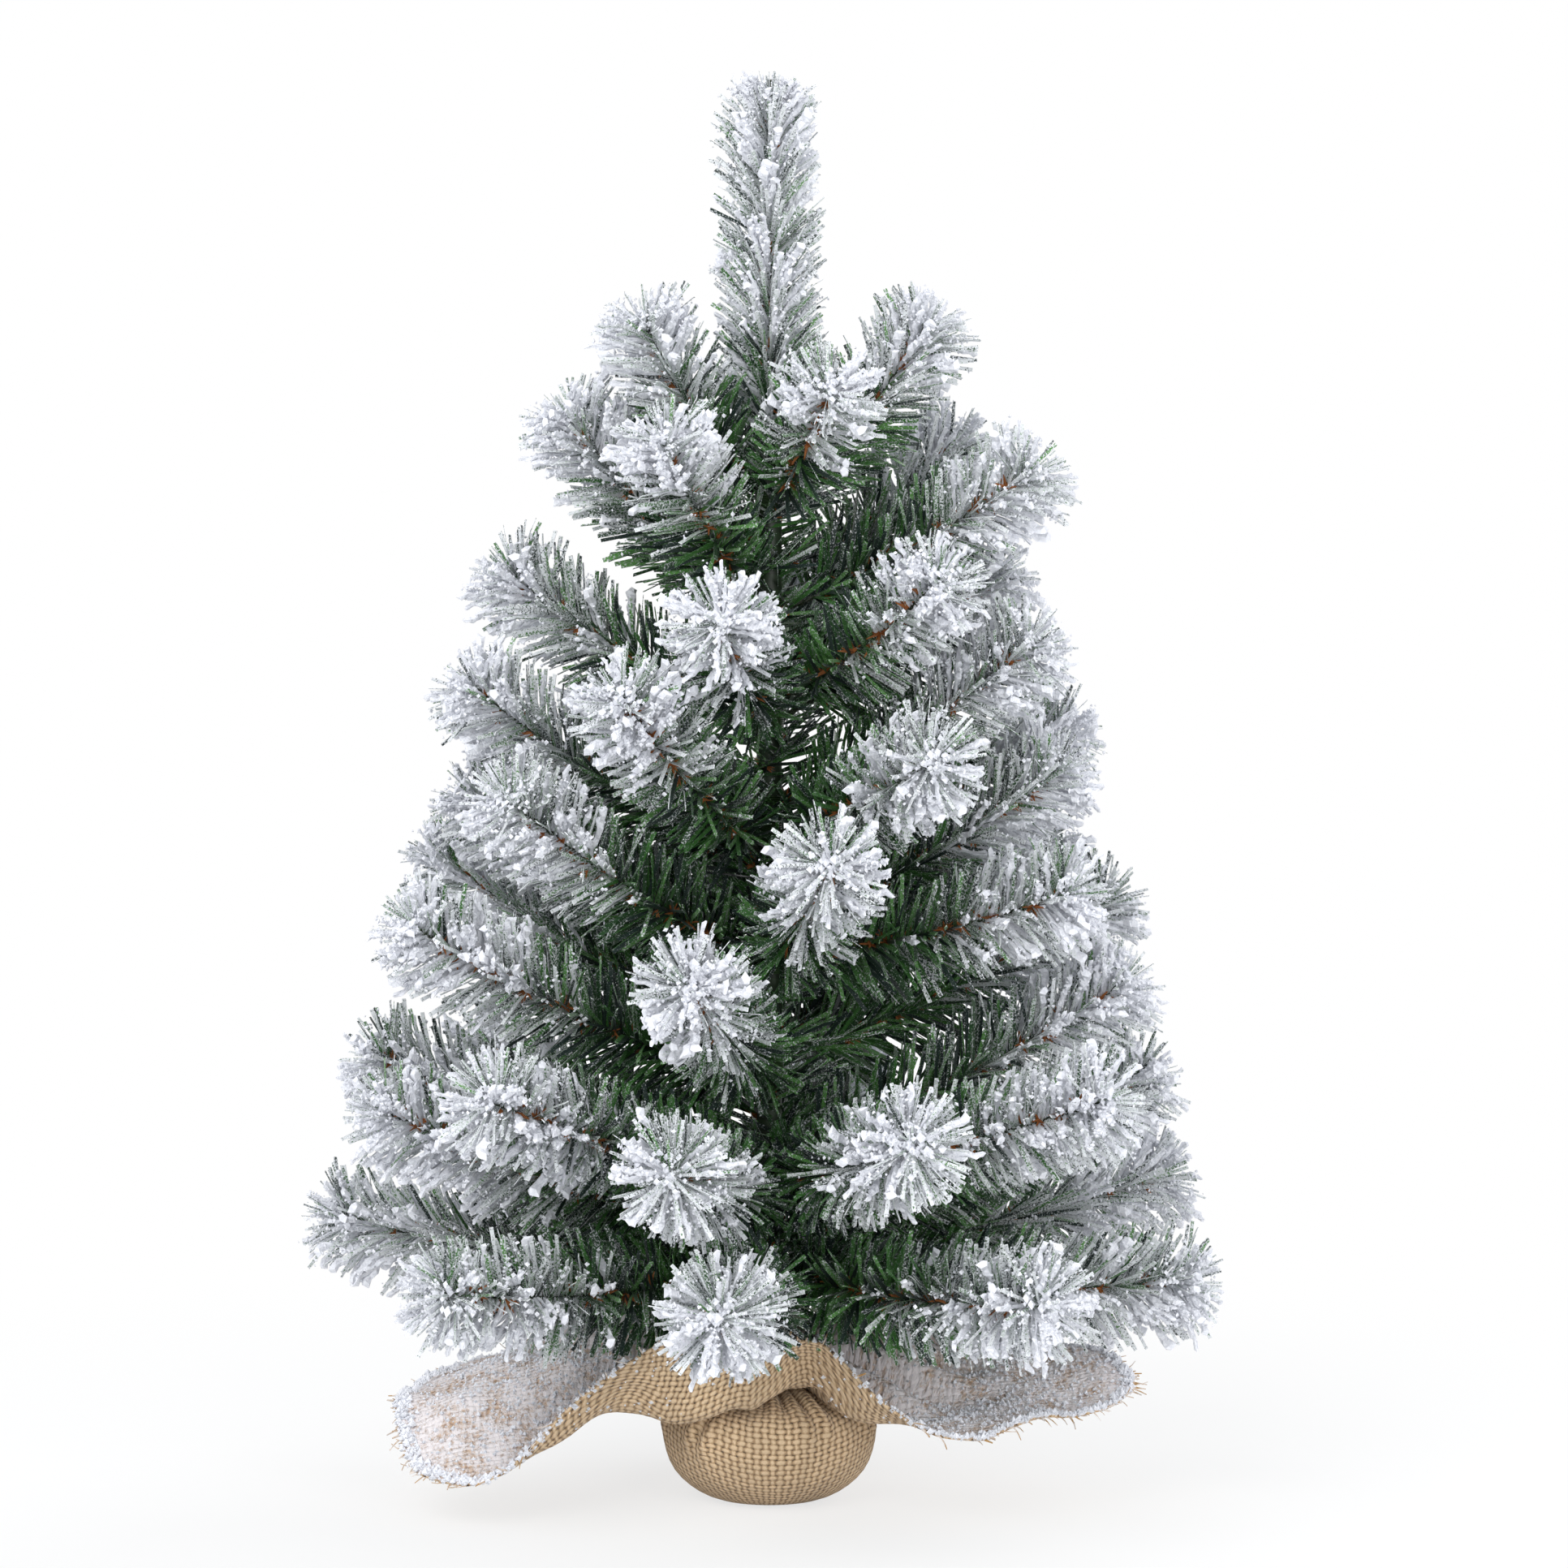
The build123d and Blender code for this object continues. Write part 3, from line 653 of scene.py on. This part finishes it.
def flock_finger(cell, length, width, seed):
    """A strip so thick with flock that it looks like a knobbly white twig, growing along +Z."""
    rough = random.Random(seed)
    bm = bmesh.new()
    bmesh.ops.create_cone(bm, cap_ends=True, segments=5, radius1=width * 0.30, radius2=width * 0.40,
                          depth=length)
    bmesh.ops.translate(bm, vec=(0, 0, length / 2), verts=bm.verts)
    upright = [e for e in bm.edges if abs(e.verts[0].co.z - e.verts[1].co.z) > length / 2]
    bmesh.ops.subdivide_edges(bm, edges=upright, cuts=7)
    tip = [f for f in bm.faces if len(f.verts) == 5 and f.calc_center_median().z > length / 2]
    crown = bmesh.ops.poke(bm, faces=tip)["verts"]
    foot = [f for f in bm.faces if len(f.verts) == 5]
    bmesh.ops.delete(bm, geom=foot, context="FACES_ONLY")
    for vertex in crown:
        vertex.co.z += width * 0.35
    layer = bm.loops.layers.uv.new("OFBake")
    left = cell / finger_cells + 0.004
    for face in bm.faces:
        middle = face.calc_center_median()
        around = math.atan2(middle.y, middle.x)
        for loop in face.loops:
            x, y, z = loop.vert.co
            own = math.atan2(y, x) if abs(x) + abs(y) > 1e-6 else around
            own = around + (own - around + math.pi) % (2 * math.pi) - math.pi
            over = min(max(own / (2 * math.pi) + 0.5, 0), 1)
            loop[layer].uv = (left + 0.155 * over, 0.53 + 0.44 * min(z / length / 1.1, 1))
    for vertex in bm.verts:
        share = vertex.co.z / length
        swell = 0.6 + 0.6 * smooth(0.1, 0.85, share)
        knot = 1 + 1.1 * noise.noise(Vector((seed * 3.7, 0.4, vertex.co.z * 420)))
        factor = swell * knot * rough.uniform(0.62, 1.5)
        drift = Vector((noise.noise(Vector((seed, 5.1, vertex.co.z * 240))),
                        noise.noise(Vector((seed, 9.3, vertex.co.z * 240))), 0)) * 0.0022 * share
        vertex.co.x *= factor * 1.25
        vertex.co.y *= factor * 0.9
        vertex.co += drift
        vertex.co.z += rough.uniform(-0.0011, 0.0011) if share > 0.1 else 0
    made = bpy.data.meshes.new("flock_finger")
    bm.to_mesh(made)
    bm.free()
    return made


def spiky_bud(seed):
    """A brown bud: a few stubs of clipped film standing off the wire."""
    rough = random.Random(seed)
    bm = bmesh.new()
    for _ in range(6):
        spike = bmesh.ops.create_cone(bm, cap_ends=False, segments=3, radius1=0.0006,
                                      radius2=0.0001, depth=0.0034)["verts"]
        bmesh.ops.translate(bm, vec=(0, 0, 0.0017), verts=spike)
        lean = Matrix.Rotation(rough.uniform(0.3, 1.25), 3, "X")
        turn = Matrix.Rotation(rough.uniform(0, 6.28), 3, "Z")
        bmesh.ops.rotate(bm, cent=(0, 0, 0), matrix=turn @ lean, verts=spike)
    layer = bm.loops.layers.uv.new("OFBake")
    for face in bm.faces:
        face.material_index = 2
        for loop, (u, v) in zip(face.loops, ((0, 0), (0.02, 0), (0.02, 0.03), (0, 0.03))):
            loop[layer].uv = (0.86 + u, 0.80 + v)
    made = bpy.data.meshes.new("spiky_bud")
    bm.to_mesh(made)
    bm.free()
    return made


def twisted_wire(mesh_in_edit, length, thickness, centre_at):
    """A pair of wires twisted together, laid along a centre line from the pole to the tip."""
    rows = int(length / 0.0022)
    bm = bmesh.new()
    bmesh.ops.create_cone(bm, cap_ends=True, segments=4, radius1=thickness / 2,
                          radius2=thickness / 2, depth=1)
    upright = [e for e in bm.edges if abs(e.verts[0].co.z - e.verts[1].co.z) > 0.5]
    bmesh.ops.subdivide_edges(bm, edges=upright, cuts=rows)
    layer = bm.loops.layers.uv.new("OFBake")
    for face in bm.faces:
        face.material_index = 3
        for loop, (u, v) in zip(face.loops, ((0, 0), (0.02, 0), (0.02, 0.03), (0, 0.03))):
            loop[layer].uv = (0.92 + u, 0.80 + v)
    for vertex in bm.verts:
        share = vertex.co.z + 0.5
        place, ahead, side, up = centre_at(share * length)
        flat = Matrix.Rotation(share * length / 0.009 * 2 * math.pi, 3, "Z") \
            @ Vector((vertex.co.x, vertex.co.y * 0.55, 0))
        vertex.co = place + side * flat.x + up * flat.y
    made = bpy.data.meshes.new("twisted_wire")
    bm.to_mesh(made)
    bm.free()
    mesh_in_edit.from_mesh(made)


# strips cut from calendered PVC film, alternately a mid green and a near black green, with a
# satin skin: the mid green is the film's colour and the near black green is the same film in painted
# shade;
# the flock clings to them as grains and in a thin white line along their edges.
# The map's columns of strips run from bare to heavily frosted, and each strip whitens outwards.
film, tree = empty_material("calendered_pvc_film_frosted")
film_map = add(tree, "UVMap", uv_map="OFBake")
split = add(tree, "SeparateXYZ", {0: film_map.outputs[0]})
columns = add(tree, "Math", {0: split.outputs["X"], 1: strip_columns}, operation="MULTIPLY")
column = add(tree, "Math", {0: columns.outputs[0]}, operation="FLOOR")
across = add(tree, "Math", {0: columns.outputs[0]}, operation="FRACT")
in_four = add(tree, "Math", {0: column.outputs[0], 1: 4.0}, operation="MODULO")
quarter = add(tree, "Math", {0: in_four.outputs[0], 1: 0.25, 2: 0.125}, operation="MULTIPLY_ADD")
# two of the four greens, the near black ones, are the film in painted shade
lit_and_shaded_greens = add(tree, "ValToRGB", {0: quarter.outputs[0]})
lit_and_shaded_greens.color_ramp.interpolation = "CONSTANT"
stops = lit_and_shaded_greens.color_ramp.elements
stops[0].position, stops[0].color = 0.0, linear("#20302b")
stops[1].position, stops[1].color = 0.25, linear("#3f7034")
third = stops.new(0.5)
third.color = linear("#294a29")
fourth = stops.new(0.75)
fourth.color = linear("#568a45")
# a strip is 1.8 by 28 mm and takes up 0.044 by 0.46 of the map, so this is nearly millimetres
to_mm = add(tree, "VectorMath", {0: film_map.outputs[0], 1: (47, 61, 0)}, operation="MULTIPLY")
# lengthwise streaks make the green up to a quarter lighter and darker: painted sheen along the film
lengthwise = add(tree, "VectorMath", {0: film_map.outputs[0], 1: (95, 14, 0)}, operation="MULTIPLY")
streaks = add(tree, "TexNoise", {"Vector": lengthwise.outputs[0], "Scale": 1.0, "Detail": 1.0})
lit = add(tree, "MapRange", {"Value": streaks.outputs["Fac"], "From Min": 0.3, "From Max": 0.7,
                             "To Min": 0.75, "To Max": 1.25})
sheen_streaked_green = add(tree, "HueSaturation", {"Value": lit.outputs[0], "Color": lit_and_shaded_greens.outputs[0]})
grains = add(tree, "TexNoise", {"Vector": to_mm.outputs[0], "Scale": 0.95, "Detail": 4.0,
                                "Roughness": 0.7})
group = add(tree, "Math", {0: column.outputs[0], 1: 1 / strip_columns}, operation="MULTIPLY")
outwards = add(tree, "Math", {0: split.outputs["Y"], 1: 0.42, 2: group.outputs[0]},
               operation="MULTIPLY_ADD")
at_edge = add(tree, "Math", {0: across.outputs[0], 1: 0.70}, operation="GREATER_THAN")
edged = add(tree, "Math", {0: at_edge.outputs[0], 1: 0.14, 2: outwards.outputs[0]},
            operation="MULTIPLY_ADD")
threshold = add(tree, "MapRange", {"Value": edged.outputs[0], "From Max": 1.05, "To Min": 0.645,
                                   "To Max": 0.40})
above = add(tree, "Math", {0: grains.outputs["Fac"], 1: threshold.outputs[0]}, operation="SUBTRACT")
cover = add(tree, "MapRange", {"Value": above.outputs[0], "From Min": -0.01, "From Max": 0.03})
frosted = add(tree, "Mix", {0: cover.outputs[0], 6: sheen_streaked_green.outputs[0], 7: linear("#dfe2e4")},
              data_type="RGBA")
dull = add(tree, "MapRange", {"Value": cover.outputs[0], "To Min": 0.42, "To Max": 1.0})
bump = add(tree, "Bump", {"Height": cover.outputs[0], "Strength": 0.6, "Distance": 0.0003})
surface = add(tree, "BsdfPrincipled", {"Base Color": frosted.outputs[2], "IOR": 1.53,
                                       "Roughness": dull.outputs[0],
                                       "Normal": bump.outputs["Normal"]})
add(tree, "OutputMaterial", {"Surface": surface.outputs[0]})

# clipped film stubs in orange brown, matt where the cutter bruised them
bud_film, tree = empty_material("clipped_brown_pvc_film")
bud_map = add(tree, "UVMap", uv_map="OFBake")
bruised = add(tree, "TexNoise", {"Vector": bud_map.outputs[0], "Scale": 120.0, "Detail": 1.0})
brown = add(tree, "Mix", {0: bruised.outputs["Fac"], 6: linear("#7a4420"), 7: linear("#b8743c")},
            data_type="RGBA")
surface = add(tree, "BsdfPrincipled", {"Base Color": brown.outputs[2], "Roughness": 0.7, "IOR": 1.53})
add(tree, "OutputMaterial", {"Surface": surface.outputs[0]})

# annealed wire lacquered dark green, its lacquer nicked grey by the twisting
branch_wire, tree = empty_material("green_lacquered_wire")
wire_map = add(tree, "UVMap", uv_map="OFBake")
nicks = add(tree, "TexNoise", {"Vector": wire_map.outputs[0], "Scale": 160.0, "Detail": 1.0})
lacquer = add(tree, "ValToRGB", {0: nicks.outputs["Fac"]})
lacquer.color_ramp.elements[0].position, lacquer.color_ramp.elements[0].color = 0.5, linear("#22301b")
lacquer.color_ramp.elements[1].position, lacquer.color_ramp.elements[1].color = 0.72, linear("#6b6a60")
surface = add(tree, "BsdfPrincipled", {"Base Color": lacquer.outputs[0], "Roughness": 0.45, "IOR": 1.5})
add(tree, "OutputMaterial", {"Surface": surface.outputs[0]})
branch_materials = [film, flock, bud_film, branch_wire]

# four grades of strip, from bare to heavily frosted, with four strips of each
strip_grades = [[plastic_needle(4 * grade + k, (0.030, 0.0285, 0.0305, 0.029)[k],
                                (0.0, 0.0016, -0.0014, 0.0028)[k]) for k in range(4)]
                for grade in range(4)]
fingers = [flock_finger(k, (0.029, 0.026, 0.030, 0.0245, 0.028)[k],
                        (0.0027, 0.0032, 0.0024, 0.0030, 0.0021)[k], k) for k in range(5)]
for template in fingers:
    for face in template.polygons:
        face.material_index = 1
branch_crumbs = [crumb(0.0012, 11), crumb(0.0018, 12), crumb(0.0010, 13), crumb(0.0015, 14)]
for template in branch_crumbs:
    for face in template.polygons:
        face.material_index = 1
buds = [spiky_bud(k) for k in range(3)]
tip_strips = 34
tip_crumbs = 44
mats_per_metre = 300


def dress_wire(mesh_in_edit, centre_at, begin, length, seed, frost_at, strips_per_mm, white_at,
               lean_at, past=0.0155, aside=0.0265):
    """Strips, flock fingers, crumbs and buds all round a wire, from begin to its tip.

    The brush ends in a dome: no strip stands further past the tip, or further aside, than it says."""
    chance = random.Random(seed)
    count = int((length - begin) * 1000 * strips_per_mm)
    runs = [begin + (length - begin) * (k + chance.random()) / count for k in range(count)]
    runs += [length - 0.007 * chance.random() for _ in range(tip_strips if past else 0)]
    golden = math.radians(137.508)
    # places where the flock has stuck neighbouring strips together
    mats = [(chance.uniform(begin, length), chance.uniform(0, 2 * math.pi), chance.uniform(0.6, 1.2))
            for _ in range(int((length - begin) * mats_per_metre))]
    for k, run in enumerate(runs):
        place, ahead, side, up = centre_at(min(run, length))
        round_wire = k * golden + chance.uniform(-0.5, 0.5)
        lean = lean_at(run / length, chance)
        apart = [(((run - at) / 0.007) ** 2 + (((round_wire - angle + math.pi) % (2 * math.pi)
                                                - math.pi) / 0.5) ** 2, angle, mat_lean)
                 for at, angle, mat_lean in mats]
        nearest, angle, mat_lean = min(apart)
        matted = nearest < 1
        if matted:
            off = (round_wire - angle + math.pi) % (2 * math.pi) - math.pi
            round_wire = angle + 0.4 * off
            lean += 0.35 * (mat_lean - lean)
        away = side * math.cos(round_wire) + up * math.sin(round_wire)
        towards = ahead * math.cos(lean) + away * math.sin(lean)
        facing = away.dot(Vector((0, 0, -1)))
        frost = frost_at(run / length, facing) + chance.gauss(0, 0.15)
        reach = 1 / math.hypot(math.cos(lean) / (past + length - run), math.sin(lean) / aside) \
            if past else 0.03
        size = min(1.0, reach / 0.0285) * chance.uniform(0.86, 1.05)
        roll = chance.uniform(0, 6.28)
        frost += 0.18 if matted else -0.10
        white = chance.random() < white_at(run / length, facing) * (2.1 if matted else 0.3)
        if white:
            put(mesh_in_edit, chance.choice(fingers), place + towards * 0.002, towards, roll,
                size * chance.uniform(0.82, 1.0))
        else:
            grade = min(max(int(frost * 4), 0), 3)
            put(mesh_in_edit, chance.choice(strip_grades[grade]), place, towards, roll, size)
        lumps = chance.uniform(6, 12) if white else chance.uniform(0, 8) * smooth(0.25, 1.0, frost)
        for _ in range(int(lumps + chance.random())):
            along = chance.triangular(0.25, 1.02, 0.95) * 0.028 * size
            off = Vector([chance.gauss(0, 0.0010) for _ in range(3)])
            put(mesh_in_edit, chance.choice(branch_crumbs), place + towards * along + off,
                towards, 0, chance.uniform(0.6, 1.35))
    for _ in range(tip_crumbs if past else 0):
        place, ahead, side, up = centre_at(length - 0.001)
        off = side * chance.gauss(0, 0.0042) + up * chance.gauss(0, 0.0042) \
            + ahead * chance.uniform(0.001, 0.0075)
        put(mesh_in_edit, chance.choice(branch_crumbs), place + off, ahead, 0, chance.uniform(1.5, 2.9))
    bud_run = begin + 0.006
    while bud_run < length - 0.004:
        place, ahead, side, up = centre_at(bud_run)
        for _ in range(2):
            turn = chance.uniform(0, 6.28)
            off = side * math.cos(turn) + up * math.sin(turn)
            put(mesh_in_edit, chance.choice(buds), place + off * 0.0015, off + ahead * 0.4,
                chance.uniform(0, 6.28), chance.uniform(1.1, 1.9))
        bud_run += 0.0085 * chance.uniform(0.8, 1.2)


def spread(share, chance):
    """How far a strip leans off the wire: about 58 degrees, opening to a rounded end."""
    lean = math.radians(chance.gauss(58, 7))
    if share > 0.94:
        lean = math.acos(chance.uniform(0.12, 0.98))
    return lean


for joint in frame["joints"]:
    if joint["child"] == "leader":
        continue
    name = joint["child"]
    root = Vector(joint["pos_m"])
    outwards = Vector((-joint["axis"][1], joint["axis"][0], 0)).normalized()
    points = [v.co for v in frame["nodes"][name].data.vertices]
    farthest = max((p - root).length for p in points)
    rim = [p for p in points if (p - root).length > farthest - 0.002]
    tip = sum(rim, Vector()) / len(rim)
    chord = tip - root
    rise = math.atan2(chord.z, chord.dot(outwards))
    wire_length = chord.length * (curl / 2) / math.sin(curl / 2)
    bend_radius = wire_length / curl
    side = outwards.cross(Vector((0, 0, 1)))

    def centre_at(run, root=root, outwards=outwards, rise=rise, bend_radius=bend_radius, side=side):
        start = rise - curl / 2
        now = start + run / bend_radius
        along = bend_radius * (math.sin(now) - math.sin(start))
        high = bend_radius * (math.cos(start) - math.cos(now))
        ahead = outwards * math.cos(now) + Vector((0, 0, math.sin(now)))
        return root + outwards * along + Vector((0, 0, high)), ahead, side, side.cross(ahead)

    tier, number = (int(part) for part in name.split("_")[1::2])
    branch = bmesh.new()
    branch.loops.layers.uv.new("OFBake")
    twisted_wire(branch, wire_length, 0.0024, centre_at)

    def frost_at(share, facing):
        return -0.04 + 0.92 * smooth(0.18, 0.88, share) + 0.2 * facing * share

    def white_at(share, facing):
        return 0.50 * smooth(0.55, 0.95, share) * (1 + 0.6 * facing) + 0.06 * smooth(0.3, 0.6, share)

    dress_wire(branch, centre_at, 0.012, wire_length, 100 * tier + number, frost_at, 4.5, white_at,
               spread)
    piece = finished(name + "_brush", branch, name, branch_materials)
    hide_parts(name)


# ---- Leader
# The top of the pole carries one upright chenille, thick with flock on every side. Its strips
# stand about 50 degrees off the wire.
leader_joint = next(j for j in frame["joints"] if j["child"] == "leader")
leader_root = Vector(leader_joint["pos_m"])
leader_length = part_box("leader")[1].z - leader_root.z


def leader_at(run):
    return leader_root + Vector((0, 0, run)), Vector((0, 0, 1)), Vector((1, 0, 0)), Vector((0, 1, 0))


def leader_spread(share, chance):
    lean = math.radians(chance.gauss(50, 7))
    if share > 0.94:
        lean = math.radians(chance.triangular(8, 70, 45))
    return lean


def leader_frost(share, facing):
    return 0.45 + 0.4 * smooth(0.1, 0.5, share)


def leader_white(share, facing):
    return 0.08 + 0.30 * smooth(0.15, 0.6, share)


leader = bmesh.new()
leader.loops.layers.uv.new("OFBake")
twisted_wire(leader, leader_length - 0.001, 0.0024, leader_at)
dress_wire(leader, leader_at, 0.006, leader_length - 0.012, 7, leader_frost, 5.2, leader_white,
           leader_spread, past=0.013, aside=0.025)
leader_piece = finished("leader_brush", leader, "leader", branch_materials)
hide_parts("leader")


# ---- Needles on the pole
# The same chenille is wound loosely round the pole between the tiers and hides it. It sits too
# deep in the tree for the flock to reach, so its strips stayed dark.
pole_bottom = 0.072
pole_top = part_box("trunk_tape")[1].z
pole = bmesh.new()
pole.loops.layers.uv.new("OFBake")


def pole_at(run):
    turn = run / 0.020 * 2 * math.pi
    out = Vector((math.cos(turn), math.sin(turn), 0))
    return (Vector((0, 0, pole_bottom + run)) + out * 0.0075, Vector((0, 0, 1)),
            out, Vector((0, 0, 1)).cross(out))


def pole_spread(share, chance):
    return math.radians(chance.uniform(48, 88))


def pole_frost(share, facing):
    return 0.02 + 0.25 * smooth(0.8, 1.0, share)


def pole_white(share, facing):
    return 0


dress_wire(pole, pole_at, 0.0, pole_top - pole_bottom, 3, pole_frost, 4.2, pole_white, pole_spread,
           past=0)
finished("pole_chenille", pole, "root", branch_materials)
